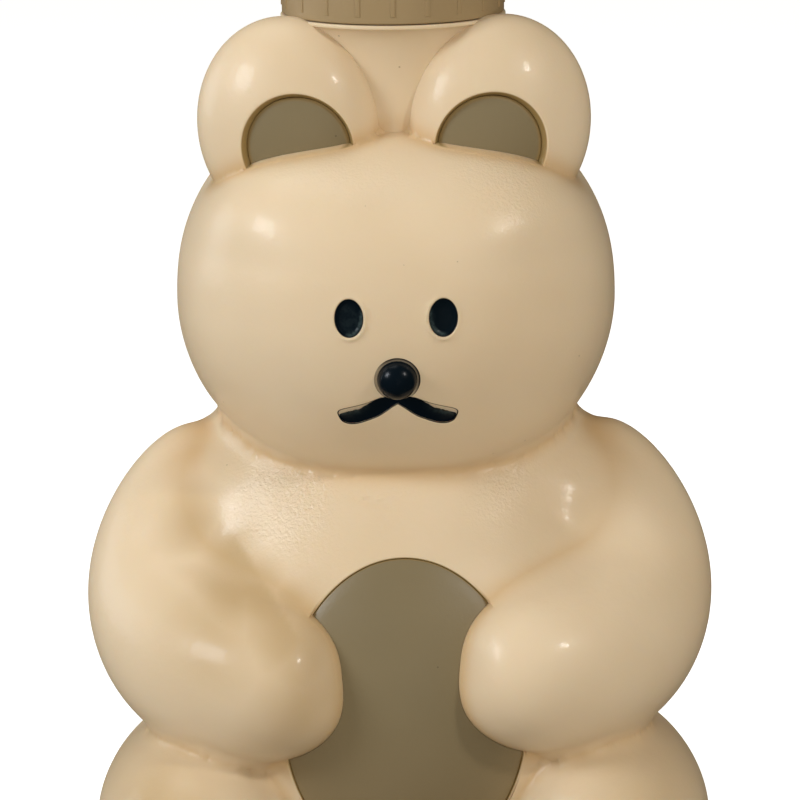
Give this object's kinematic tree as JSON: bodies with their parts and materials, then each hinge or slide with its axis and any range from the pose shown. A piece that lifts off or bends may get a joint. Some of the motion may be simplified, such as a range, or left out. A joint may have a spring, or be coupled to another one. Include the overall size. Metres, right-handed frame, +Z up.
{
  "type": "foaming soap dispenser",
  "caption": "Foaming soap dispenser with a hollow sitting-bear bottle, screw-on collar and push-down foam pump.",
  "frame": {"origin": "on the surface that the bottle stands on, under the pump's axis", "axes": "+Z up along the pump's axis, -Y out of the bear's front and the spout, +X to the viewer's right"},
  "size_m": [0.1024, 0.0842, 0.1971],
  "materials": {
    "cream_plastic": "satin",
    "khaki_plastic": "satin",
    "navy_gloss": "gloss",
    "white_plastic": "satin",
    "clear_plastic": "translucent",
    "silicone": "matte",
    "steel": "bright",
    "mesh_nylon": "matte"
  },
  "bodies": {
    "bottle": {"bottle": "cream_plastic", "belly_panel": "khaki_plastic", "ear_panel_left": "khaki_plastic", "ear_panel_right": "khaki_plastic", "eye_left": "navy_gloss", "eye_right": "navy_gloss", "nose": "navy_gloss", "mouth": "navy_gloss"},
    "pump_body": {"pump_housing": "white_plastic", "housing_cap": "white_plastic", "neck_gasket": "silicone", "dip_tube": "clear_plastic", "return_spring": "steel"},
    "collar": {"screw_collar": "khaki_plastic"},
    "piston_set": {"air_piston": "white_plastic", "air_valve": "silicone", "piston_stem": "white_plastic", "liquid_piston": "clear_plastic"},
    "poppet": {"poppet_rod": "white_plastic"},
    "head": {"pump_head": "khaki_plastic", "foam_tube": "white_plastic", "lower_screen": "mesh_nylon", "upper_screen": "mesh_nylon"},
    "ball": {"inlet_ball": "steel"}
  },
  "joints": [
    {"name": "pump_lift", "type": "slide", "parent": "bottle", "child": "pump_body", "axis": [0, 0, 1], "range_m": [0, 0.00555]},
    {"name": "closure_turn", "type": "hinge", "parent": "pump_body", "child": "collar", "pos_m": [0, 0, 0.1565], "axis": [0, 0, 1], "range_deg": [0, 630]},
    {"name": "actuator_press", "type": "slide", "parent": "pump_body", "child": "piston_set", "axis": [0, 0, -1], "range_m": [0, 0.012], "stiffness_N_per_m": 800, "springref_m": -0.004, "deforming": ["return_spring"]},
    {"name": "head_swivel", "type": "hinge", "parent": "piston_set", "child": "head", "pos_m": [0, 0, 0.19], "axis": [0, 0, 1], "continuous": true},
    {"name": "poppet_drop", "type": "slide", "parent": "piston_set", "child": "poppet", "axis": [0, 0, -1], "range_m": [0, 0.0008]},
    {"name": "inlet_ball_lift", "type": "slide", "parent": "pump_body", "child": "ball", "axis": [0, 0, 1], "range_m": [0, 0.0015]}
  ],
  "couplings": [
    {"joint": "closure_turn", "follows": "pump_lift", "rad_per_m": 1979}
  ]
}
